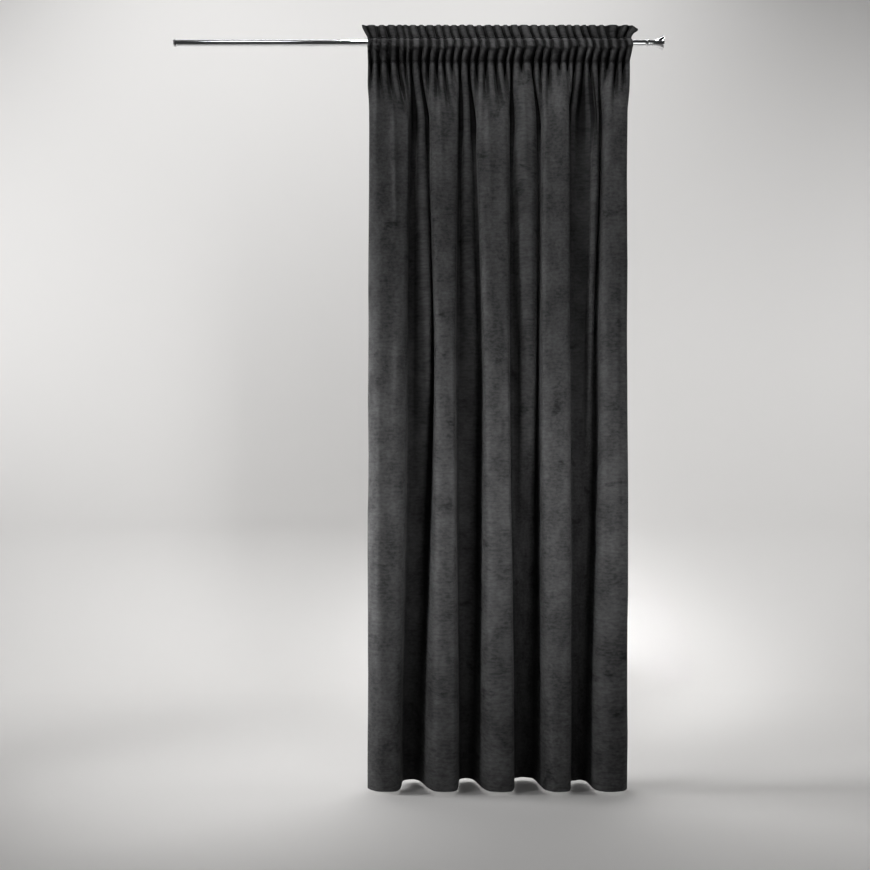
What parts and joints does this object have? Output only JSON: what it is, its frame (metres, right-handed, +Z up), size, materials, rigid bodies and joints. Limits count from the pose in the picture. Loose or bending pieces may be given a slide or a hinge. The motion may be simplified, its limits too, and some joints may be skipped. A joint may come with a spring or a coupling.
{
  "type": "velvet curtain on a rod",
  "caption": "Floor-length velvet curtain with a frilled top, gathered by its pocket on a slim round rod with a trumpet finial; it screens a window and slides along the rod.",
  "frame": {"origin": "on the rod's axis, at the middle of the curtain's gathered width", "axes": "+Z up, along the curtain's drop; +Y towards the wall, so the curtain's face looks along -Y; +X along the rod, towards the finial"},
  "size_m": [1.7661, 0.135, 2.74],
  "materials": {
    "velvet": "crushed velvet pile with a soft sheen",
    "rod_chrome": "polished",
    "cap_satin": "satin"
  },
  "bodies": {
    "root": {"velvet_panel": "velvet", "rod": "rod_chrome", "end_cap": "cap_satin", "finial_collar": "rod_chrome", "finial_trumpet": "rod_chrome"}
  },
  "joints": []
}
